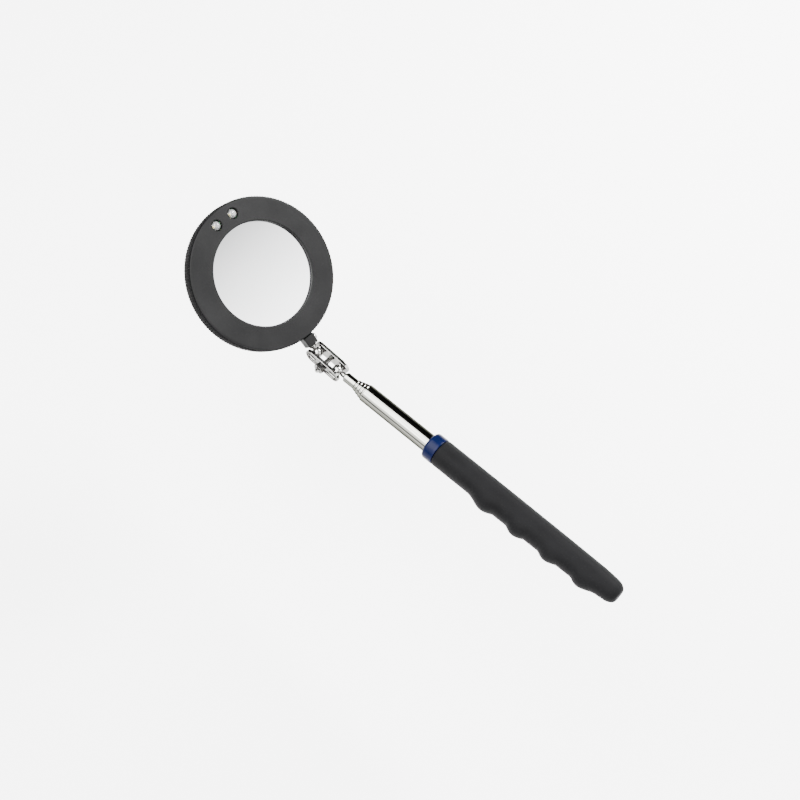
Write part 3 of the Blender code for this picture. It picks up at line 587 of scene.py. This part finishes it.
def makeLights():
    radius, flange, bottom, bend = light["radius"], light["flange"], light["bottom"], light["flangeRound"]
    dome = [(0, bottom), (flange, bottom)]
    dome += arcPoints((flange - bend, bottom + 1.0 - bend), bend, 0, 90, 3)
    dome += [(radius + 0.05, bottom + 1.0), (radius, bottom + 1.15)]
    dome += arcPoints((0, light["top"] - radius), radius, 0, 90, 14)[:-1] + [(0, light["top"])]
    cup = [(0, 0.3), (0.55, 0.3), (1.9, 1.35), (2.2, 1.4), (2.3, 1.2), (2.3, -0.9), (2.0, -1.1), (0, -1.1)]
    half, low, top = light["chipHalf"], light["chipLow"], light["chipTop"]
    for side, (x, y) in lightPlaces().items():
        lens = moved(spun(dome, steps["light"]), x, y)
        bowl = moved(spun(cup, steps["hole"]), x, y)
        chip = soften(block((x - half, y - half, low), (x + half, y + half, top)), 0.06, 2)
        finishPiece(
            f"lightDome_{side}", lens, headFrame, "head", finish["resin"], [f"light_{side}"],
            40,
        )
        finishPiece(f"lightCup_{side}", bowl, headFrame, "head", finish["nickel"])
        finishPiece(f"lightChip_{side}", chip, headFrame, "head", finish["phosphor"])


def crossRecess(reach, width, depth, top):
    narrowing = 0.45
    cuts = []
    for turn in (0, 90):
        cut = block((-reach, -width, top - depth), (reach, width, top + 2))
        for vert in cut.verts:  # the recess narrows as it goes down
            if vert.co.z < top:
                vert.co.x *= narrowing
        cuts.append(turnedBy(cut, turn, "Z"))
    return cuts


def makeCaseScrews():
    top = 4.85
    for number, (x, y) in enumerate(screwPlaces()):
        points = [(0, -1.3), (1.0, -0.9), (1.0, 3.85), (1.95, 4.75), (1.92, top), (0, top)]
        screw = carved(spun(points, 40), crossRecess(1.2, 0.26, 0.8, top))
        turnedBy(turnedBy(screw, 17 * number, "Z"), 180, "X")
        name, node = f"caseScrew{number + 1}", f"case_screw_{number + 1}"
        steelPiece(name, moved(screw, x, y), headFrame, "head", node)


door = {
    "cup": 11.0, "flange": 13.2, "low": -6.0, "lip": -5.3, "rim": -1.7, "floor": -4.8, "wall": 0.7,
    "notches": 24, "notchDepth": 0.35, "slotHalf": (6.5, 0.8), "slotDepth": 0.7,
    "ring": (8.6, 9.0), "ringDepth": 0.2,
}


def makeDoor():
    low, lip, wide = door["low"], door["lip"], door["flange"]
    cup, inner = door["cup"], door["cup"] - door["wall"]
    points = [(0, low), (wide - 1.4, low), (wide - 0.5, low + 0.12), (wide - 0.1, low + 0.35)]
    points += [(wide, lip - 0.1), (wide - 0.1, lip), (cup, lip), (cup, door["rim"]), (inner, door["rim"])]
    points += [(inner, door["floor"]), (0, door["floor"])]
    disc = spun(points, 8 * door["notches"])
    for vert in disc.verts:  # finger notches round the rim
        if math.hypot(vert.co.x, vert.co.y) > wide - 0.55:
            turn = math.atan2(vert.co.y, vert.co.x) * door["notches"]
            pressIn(vert, door["notchDepth"] * max(0.0, math.cos(turn)) ** 3)
    length, width = door["slotHalf"]
    slot = soften(block((-length, -width, low - 1), (length, width, low + door["slotDepth"])), 0.3)
    inside, outside = door["ring"]
    deep = low + door["ringDepth"]
    ringCut = spun([(inside, low - 1), (outside, low - 1), (outside, deep), (inside, deep)])
    piece = moved(carved(disc, [slot, ringCut]), shell["doorCentre"])
    finishPiece("batteryDoor", piece, headFrame, "door", finish["shell"], ["battery_door"])


knob = {
    "start": -1.25, "half": (1.0, 1.6), "low": -6.2, "top": -2.5, "ribs": (-0.9, -0.3, 0.3, 0.9),
    "ribHalf": 0.16, "ribTop": -5.95,
}


def makeKnob():
    # ribbed slider, standing in its off place
    centre, start, (across, along) = shell["switchCentre"], knob["start"], knob["half"]
    body = block((centre - across, start - along, knob["low"]), (centre + across, start + along, knob["top"]))
    soften(body, 0.25)
    grooves = []
    for at in knob["ribs"]:
        front, back = start + at - knob["ribHalf"], start + at + knob["ribHalf"]
        grooves.append(block((centre - 2, front, -7), (centre + 2, back, knob["ribTop"])))
    piece = carved(body, grooves)
    finishPiece("switchKnob", piece, headFrame, "knob", finish["shell"], ["switch_knob"])


makeBezel()
makeMirrorGlass()
makeBackShell()
makeNeckBlock()
makeLights()
makeCaseScrews()
makeDoor()
makeKnob()
print("head made")

joint = {
    "ball": 3.0, "spacing": 15.3, "stem": 1.5, "stemGap": 0.11, "plateHalf": 4.3, "plateInner": 2.75,
    "plateThick": 1.2, "rim": 0.7, "rimWidth": 0.75, "seatWidth": 2.4, "seatLength": 5.2, "seatFlare": 0.45,
    "plateHole": 1.6, "screw": 1.45, "screwGap": 0.3, "pitch": 0.5, "threadDepth": 0.27, "washer": 0.5,
    "washerGap": 0.3, "nutFlats": 5.5, "nutThick": 2.4, "screwTip": 1.5,
}
clampFrame = plateFrame @ Matrix.Translation((-joint["spacing"] / 2, 0, 0)) @ acrossJoint
screwSeat = joint["plateInner"] + joint["plateThick"] + joint["screwGap"]
nutLow = -(screwSeat + joint["washer"] + joint["washerGap"] + joint["nutThick"])


def makeBalls():
    places = (
        ("headBall", ballFrame, "upper_ball", "head_ball"),
        ("rodBall", plateFrame, "lower_ball", "rod_ball"),
    )
    for name, place, body, node in places:
        bm = bmesh.new()
        bmesh.ops.create_uvsphere(bm, u_segments=64, v_segments=40, radius=joint["ball"])
        steelPiece(name, bm, place, body, node, 60)


def makeStems():
    near = joint["ball"] + joint["stemGap"]
    wide, waist, flange = joint["stem"], 1.05, joint["stem"] + 0.6
    points = [(0, near), (wide - 0.35, near), (wide - 0.1, near + 0.35), (wide, near + 0.7), (wide, 4.0)]
    points += [(wide + 0.15, 4.05), (wide + 0.55, 4.12), (flange, 4.2), (flange, 4.8), (wide + 0.52, 4.9)]
    points += [(wide, 4.9), (wide, 7.0), (waist, 7.05), (waist, 9.35), (wide, 9.4), (wide, 9.9)]
    points += [(wide - 0.3, 10.2), (0, 10.2)]
    steelPiece("headStem", turnedBy(spun(points, 64), -90, "Y"), ballFrame, "stem", "head_stem")
    shank, end = 1.9, 13.3
    points = [(0, near), (wide - 0.35, near), (wide - 0.1, near + 0.3), (wide, near + 0.6), (wide, 5.5)]
    points += [(wide + 0.3, 5.9), (shank, 6.0), (shank, end), (0, end)]
    steelPiece("rodStem", turnedBy(spun(points, 64), 90, "Y"), handleFrame, "rod_swivel", "rod_stem")


def obround(left, right, half, steps=20):
    return arcPoints((left, 0), half, 90, 270, steps) + arcPoints((right, 0), half, -90, 90, steps)


def plateCutters(inner, outer, top):
    # the pressed pocket, and a flared seat for each ball
    spacing, width, length = joint["spacing"], joint["seatWidth"], joint["seatLength"]
    pocket = extruded(obround(-spacing, 0, joint["plateHalf"] - joint["rimWidth"]), outer, top + 2)
    cutters = [soften(pocket, 0.3, within=lambda co: co.z < outer + 0.01)]
    straight, spread = (length - width) / 2, 2 * joint["seatFlare"]
    for centre in (-spacing, 0):
        ends = (centre - straight, centre + straight)
        cutters.append(extruded(obround(*ends, width / 2, 12), inner - 1, top))
        flare = extruded(obround(*ends, width / 2 + joint["seatFlare"], 12), outer - 0.3, top)
        for vert in flare.verts:  # the seat's mouth opens outwards
            if vert.co.z < outer:
                vert.co.y *= width / (width + spread)
                vert.co.x = centre + (vert.co.x - centre) * length / (length + spread)
        cutters.append(flare)
    hole = joint["plateHole"]
    bore = [(0, inner - 1), (hole, inner - 1), (hole, outer + 1), (0, outer + 1)]
    cutters.append(moved(spun(bore, 40), -spacing / 2))
    return cutters


def makePlates():
    inner, outer = joint["plateInner"], joint["plateInner"] + joint["plateThick"]
    top = outer + joint["rim"]
    sides = (("clampPlateFar", 1, "clamp_plate_far"), ("clampPlateNear", -1, "clamp_plate_near"))
    for name, side, node in sides:
        plate = soften(extruded(obround(-joint["spacing"], 0, joint["plateHalf"]), inner, top), 0.22)
        piece = carved(plate, plateCutters(inner, outer, top))
        turnedBy(piece, -90 * side, "X")
        steelPiece(name, piece, plateFrame, "clamp", node, 26)


def threadPoints(radius, low, high, pitch):
    # a thread's ridges, as the outline of a turned shank from high down to low
    points = []
    level = high
    while level - pitch > low:
        root = (radius - joint["threadDepth"], level - pitch * 0.6)
        points += [(radius, level), (radius, level - pitch * 0.2), root]
        level -= pitch
    return points


def makeClampScrew():
    seat, tip, top, wide = screwSeat, nutLow - joint["screwTip"], screwSeat + 1.3, 2.5
    points = [(0, tip), (1.0, tip), (1.15, tip + 0.1)]
    points += threadPoints(joint["screw"], tip + 0.2, 2.6, joint["pitch"])[::-1]
    points += [(joint["screw"], seat), (2.3, seat), (wide, seat + 0.15), (wide, seat + 0.4)]
    points += [(2.35, seat + 0.72), (1.95, seat + 1.02), (1.3, seat + 1.22), (0, top)]
    screw = carved(spun(points, 56), crossRecess(1.45, 0.32, 0.75, top))
    steelPiece("tensionScrew", screw, clampFrame, "clamp", "tension_screw")


def makeNut():
    low, high = nutLow, nutLow + joint["nutThick"]
    flat, corner = joint["nutFlats"] / 2 - 0.05, joint["nutFlats"] / math.sqrt(3)
    beyond, bevel = corner + 0.05, 0.42
    hexagon = extruded(arcPoints((0, 0), corner, 0, 300, 5), low, high)
    cone = [(0, low), (flat, low), (beyond, low + bevel), (beyond, high - bevel), (flat, high), (0, high)]
    nut = carved(hexagon, [spun(cone, 72)], "INTERSECT")
    bore, mouth = 1.57, 0.25
    hole = [(0, low - 1), (2.4, low - 1), (bore, low + mouth), (bore, high - mouth)]
    hole += [(2.2, high + 1), (0, high + 1)]
    nut = carved(nut, [spun(hole, 48)])
    steelPiece("tensionNut", nut, clampFrame, "nut", "tension_nut", 24)


washer = {
    "inner": 1.66, "outer": 2.58, "low": 0.46, "high": 0.08, "climb": 0.08, "turn": 336, "steps": 60,
    "gapAt": 12,
}


def makeSpringWasher():
    # one open turn of square wire that climbs a little, as a split washer does
    low, high = -screwSeat - washer["low"], -screwSeat - washer["high"]
    inner, outer = washer["inner"], washer["outer"]
    corners = ((inner, low), (outer, low), (outer, high), (inner, high))
    bm = bmesh.new()
    end = bm.faces.new([bm.verts.new((x, 0, z)) for x, z in corners])
    bmesh.ops.spin(
        bm, geom=[end], cent=(0, 0, 0), axis=(0, 0, 1), dvec=(0, 0, washer["climb"] / washer["steps"]),
        angle=math.radians(washer["turn"]), steps=washer["steps"],
    )
    turnedBy(bm, washer["gapAt"], "Z")
    bmesh.ops.holes_fill(bm, edges=bm.edges, sides=4)
    steelPiece("springWasher", bm, clampFrame, "clamp", "spring_washer")


def makeNeckScrew():
    seat = neck["width"] / 2 + 0.1
    shank, wide, top = 0.9, 2.2, seat + 1.72
    points = [(0, 1.3), (shank, 1.3), (shank, seat), (2.1, seat), (wide, seat + 0.12), (wide, seat + 0.5)]
    points += [(2.05, seat + 0.95), (1.65, seat + 1.35), (1.0, seat + 1.62), (0, top)]
    screw = carved(spun(points, 56), crossRecess(1.25, 0.3, 0.8, top))
    place = ballFrame @ Matrix.Translation((-neck["screwBack"], 0, 0)) @ acrossJoint
    steelPiece("neckScrew", screw, place, "head", "neck_screw")


makeBalls()
makeStems()
makePlates()
makeClampScrew()
makeNut()
makeSpringWasher()
makeNeckScrew()
print("ball joint made")

tube = {
    "radius": 5.1, "walls": (0.4, 0.4, 0.4, 0.35, 0.75), "gap": 0.2, "rodMouth": 6.3, "rodRound": 0.45,
    "narrow": 7.7, "step": 2.2, "tail": 185.0, "tailStep": 6.0, "tailShift": 1.0, "shoulder": (0.42, 0.9),
    "grooveDepth": 0.15, "groove": (1.02, 1.22, 1.34, 1.54),
}
stages = (
    ("tubeStage1", "outer_tube", "handle"), ("tubeStage2", "tube_section_2", "section_2"),
    ("tubeStage3", "tube_section_3", "section_3"), ("tubeStage4", "tube_section_4", "section_4"),
    ("tubeRod", "tube_rod", "rod"),
)


def mouthPoints(radius, bore, mouth):
    # a section's mouth: narrowed to the next section, rounded outside, with a crimped groove behind
    nextRadius = bore - tube["gap"]
    inside, (across, along) = nextRadius + 0.08, tube["shoulder"]
    points = [(bore, mouth + 1.4), (inside, mouth + 0.9), (inside, mouth + 0.12), (nextRadius + 0.14, mouth)]
    for out, back in arcPoints((0, 0), 1.0, -90, 0, 8):
        points.append((radius - across + across * out, mouth + along + along * back))
    depths = (0, tube["grooveDepth"], tube["grooveDepth"], 0)
    return points + [(radius - depth, mouth + at) for depth, at in zip(depths, tube["groove"])]


def makeTubes():
    radius = tube["radius"]
    last = len(stages) - 1
    for stage, (name, node, body) in enumerate(stages):
        bore = radius - tube["walls"][stage]
        tail = tube["tail"] - stage * tube["tailStep"] + (tube["tailShift"] if stage else 0.0)
        mouth = tube["rodMouth"]
        if stage == last:
            bend = tube["rodRound"]
            points = [(bore, mouth + 0.1), (bore + 0.1, mouth)]
            points += arcPoints((radius - bend, mouth + bend), bend, -90, 0, 5)
        else:
            mouth += tube["narrow"] + (last - 1 - stage) * tube["step"]
            points = mouthPoints(radius, bore, mouth)
        points += [(radius, tail - 0.1), (radius - 0.1, tail), (bore + 0.1, tail), (bore, tail - 0.1)]
        section = turnedBy(spun(points), 90, "Y")
        finishPiece(name, section, handleFrame, body, finish["chrome"], [node], 40)
        radius = bore - tube["gap"]


makeTubes()
print("tube made")

handle = {"front": 67.3, "collarLength": 7.0, "collar": 7.65, "collarRound": 1.6, "flat": 7.3, "bore": 5.25}
grip = {
    "gap": 0.3, "length": 116.2, "radius": 7.55, "taper": 0.85, "stations": 150,
    "bumpCount": 4, "bumpFirst": 35.5, "bumpPitch": 20.5, "bumpHeight": 2.7, "bumpFade": 0.1,
    "bumpFloor": 0.75, "bumpTurn": 20.0, "bumpFocus": 1.6, "firstRise": 0.55, "rise": 0.4, "fall": 0.48,
    "butt": 3.2, "buttTaper": 14.0, "buttRound": 4.6, "buttFlat": 2.9,
}


def pressFlat(bm):
    # the underside is flat where the handle would rest
    for vert in bm.verts:
        vert.co.z = max(vert.co.z, -handle["flat"])


def makeCollar():
    front, radius, curve, bore = handle["front"], handle["collar"], handle["collarRound"], handle["bore"]
    back = front + handle["collarLength"]
    points = [(bore, front + 0.2), (bore + 0.2, front), (radius - curve, front)]
    points += [(r, z) for z, r in arcPoints((front + curve, radius - curve), curve, 180, 90, 10)][1:]
    points += [(radius, back - 0.5), (radius - 0.12, back - 0.15), (radius - 0.4, back), (bore, back)]
    collar = turnedBy(spun(points), 90, "Y")
    pressFlat(collar)
    finishPiece(
        "gripCollar", collar, handleFrame, "handle", finish["collar"], ["grip_collar"], 40
    )


def gripRadius(along):
    left = grip["length"] - along
    radius = grip["radius"] - grip["taper"] * (along / grip["length"]) ** 2
    if left < grip["buttTaper"]:
        radius -= (1 - left / grip["buttTaper"]) ** 1.5
    if left < grip["buttRound"]:
        fall = 1 - math.sqrt(max(0.0, 1 - (1 - left / grip["buttRound"]) ** 2))
        radius -= (radius - grip["buttFlat"]) * fall
    return radius


def bumpAt(along):
    # the finger bumps' height at a distance from the grip's front
    bump = 0.0
    for number in range(grip["bumpCount"]):
        reach = along - grip["bumpFirst"] - number * grip["bumpPitch"]
        rise = grip["rise"] if number else grip["firstRise"]
        width = grip["bumpPitch"] * (rise if reach < 0 else grip["fall"])
        if abs(reach) < width:
            height = grip["bumpHeight"] - number * grip["bumpFade"]
            bump = max(bump, height * (0.5 + 0.5 * math.cos(math.pi * reach / width)))
    if grip["bumpFirst"] < along < grip["bumpFirst"] + (grip["bumpCount"] - 1) * grip["bumpPitch"]:
        bump = max(bump, grip["bumpFloor"])
    return bump


def makeGrip():
    start = handle["front"] + handle["collarLength"] + grip["gap"]
    length, radius = grip["length"], grip["radius"]
    end = start + length - grip["butt"]
    closeStations = (4.2, 3.4, 2.7, 2.0, 1.4, 0.9, 0.5, 0.2, 0.05)  # from the butt's end
    stations = [length * step / grip["stations"] for step in range(1, 145)]
    stations += [length - back for back in closeStations]
    points = [(0, start), (radius - 0.5, start), (radius - 0.15, start + 0.12)]
    points += [(gripRadius(along), start + along) for along in stations]
    points += [(0, start + length)]
    body = turnedBy(spun(points), 90, "Y")
    turn = math.radians(grip["bumpTurn"])
    facing = Vector((0, -math.cos(turn), -math.sin(turn)))
    for vert in body.verts:
        radial = Vector((0, vert.co.y, vert.co.z))
        if radial.length > 2.0 and vert.co.x > start:
            share = max(0.0, radial.normalized().dot(facing)) ** grip["bumpFocus"]
            vert.co += radial.normalized() * bumpAt(vert.co.x - start) * share
    pressFlat(body)
    bore = [(0, start - 1), (handle["bore"], start - 1), (handle["bore"], end), (0, end)]
    piece = carved(body, [turnedBy(spun(bore), 90, "Y")])
    finishPiece(
        "cushionGrip", piece, handleFrame, "handle", finish["grip"], ["cushion_grip"], 45
    )


makeCollar()
makeGrip()
print("handle made")

keptFinishes = {  # the CAD nodes that stay, by finish
    "foam": ["mirror_pad"],
    "board": ["light_board"],
    "cell": ["battery_upper", "battery_lower"],
    "brass": [
        "top_contact", "side_contact", "link_strip",
        "guide_bush_2", "guide_bush_3", "guide_bush_4", "guide_bush_5",
    ],
    "shell": ["switch_body", "tube_plug"],
}
for look, nodes in keptFinishes.items():
    for node in nodes:
        kept = frame["nodes"][node]
        kept.data.materials.clear()
        kept.data.materials.append(finish[look])
print("inner pieces finished")

studio = {
    "lens": 54.0, "sensor": 36.0, "clip": (0.01, 20.0), "distance": 0.6401, "azimuth": 38.48,
    "elevation": 60.14, "roll": 5.01, "target": (-0.0123, 0.0096, 0.005),
    "floorColour": (0.86, 0.86, 0.86), "floorSize": 3.0,
    "floorDrop": 0.14,  # room under the tool for the head to swing down
    "lampTarget": (0, 0, 0.02), "dim": 0.03, "backdrop": 3.5,
    "nearSky": 10.0, "nearFacing": (0, -0.6, 0.8), "nearEdge": (0.58, 0.92),
    "endDim": 0.04, "endFacing": (-1, 0, 0), "endEdge": (0.45, 0.68),
    "mirrorCard": 8.5, "cardFacing": (0.9, 0.36, 0.25), "cardEdge": (0.84, 0.96),
}


def makeFloor():
    bm = bmesh.new()
    bmesh.ops.create_grid(bm, x_segments=1, y_segments=1, size=studio["floorSize"])
    floor = meshObject("studioFloor", bm)
    floor.location.z = -studio["floorDrop"]
    material = newMaterial("pale_floor", {
        "Base Color": opaque(studio["floorColour"]), "Roughness": 0.9, "Specular IOR Level": 0.1,
    })[0]
    floor.data.materials.append(material)


def makeLamp(name, at, size, power):
    lamp = bpy.data.lights.new(name, "AREA")
    lamp.shape = "SQUARE"
    lamp.size = size
    lamp.energy = power
    obj = bpy.data.objects.new(name, lamp)
    bpy.context.scene.collection.objects.link(obj)
    obj.location = at
    aim = Vector(studio["lampTarget"]) - obj.location
    obj.rotation_euler = aim.to_track_quat("-Z", "Y").to_euler()


def skyTerm(tree, coords, facing, edge, low, high):
    # brightness that grows from low to high as a direction turns towards facing
    dot = newNode(tree, "ShaderNodeVectorMath", operation="DOT_PRODUCT")
    dot.inputs[1].default_value = Vector(facing).normalized()
    tree.links.new(coords.outputs["Generated"], dot.inputs[0])
    limits = {"From Min": edge[0], "From Max": edge[1], "To Min": low, "To Max": high}
    ramp = newNode(tree, "ShaderNodeMapRange", limits, interpolation_type="SMOOTHSTEP")
    tree.links.new(dot.outputs["Value"], ramp.inputs["Value"])
    return ramp.outputs["Result"]


def makeWorld():
    # what lights and reflects: bright above the near side, fading towards -X, with a card for the
    # mirror to face, and dim elsewhere. The camera itself sees a plain pale backdrop.
    world = bpy.data.worlds.new("studioSurround")
    bpy.context.scene.world = world
    world.use_nodes = True
    tree = world.node_tree
    coords = newNode(tree, "ShaderNodeTexCoord")
    near = skyTerm(tree, coords, studio["nearFacing"], studio["nearEdge"], studio["dim"], studio["nearSky"])
    ends = skyTerm(tree, coords, studio["endFacing"], studio["endEdge"], 1.0, studio["endDim"])
    card = skyTerm(tree, coords, studio["cardFacing"], studio["cardEdge"], 0.0, studio["mirrorCard"])
    faded = newNode(tree, "ShaderNodeMath", operation="MULTIPLY")
    most = newNode(tree, "ShaderNodeMath", operation="MAXIMUM")
    seen = newNode(tree, "ShaderNodeMix", {"B": studio["backdrop"]})
    path = newNode(tree, "ShaderNodeLightPath")
    background = tree.nodes["Background"]
    tree.links.new(near, faded.inputs[0])
    tree.links.new(ends, faded.inputs[1])
    tree.links.new(faded.outputs["Value"], most.inputs[0])
    tree.links.new(card, most.inputs[1])
    tree.links.new(path.outputs["Is Camera Ray"], seen.inputs["Factor"])
    tree.links.new(most.outputs["Value"], seen.inputs["A"])
    tree.links.new(seen.outputs["Result"], background.inputs["Strength"])
    background.inputs["Color"].default_value = (1.0, 1.0, 1.0, 1.0)


def makeCamera():
    camera = bpy.data.objects.new("camera", bpy.data.cameras.new("camera"))
    bpy.context.scene.collection.objects.link(camera)
    a, e = math.radians(studio["azimuth"]), math.radians(studio["elevation"])
    back = Vector((math.sin(a) * math.cos(e), -math.cos(a) * math.cos(e), math.sin(e)))
    level = Vector((math.cos(a), math.sin(a), 0))
    right = Matrix.Rotation(math.radians(studio["roll"]), 3, back) @ level
    basis = Matrix((right, back.cross(right), back)).transposed().to_4x4()
    camera.matrix_world = Matrix.Translation(Vector(studio["target"]) + back * studio["distance"]) @ basis
    camera.data.lens = studio["lens"]
    camera.data.sensor_width = studio["sensor"]
    camera.data.clip_start, camera.data.clip_end = studio["clip"]
    bpy.context.scene.camera = camera


makeFloor()
makeWorld()
makeLamp("backSoftbox", (0.2, 0.95, 0.85), 0.6, 85.0)
makeLamp("topSoftbox", (-0.5, -0.35, 1.1), 1.1, 50.0)
makeCamera()
print("studio made")
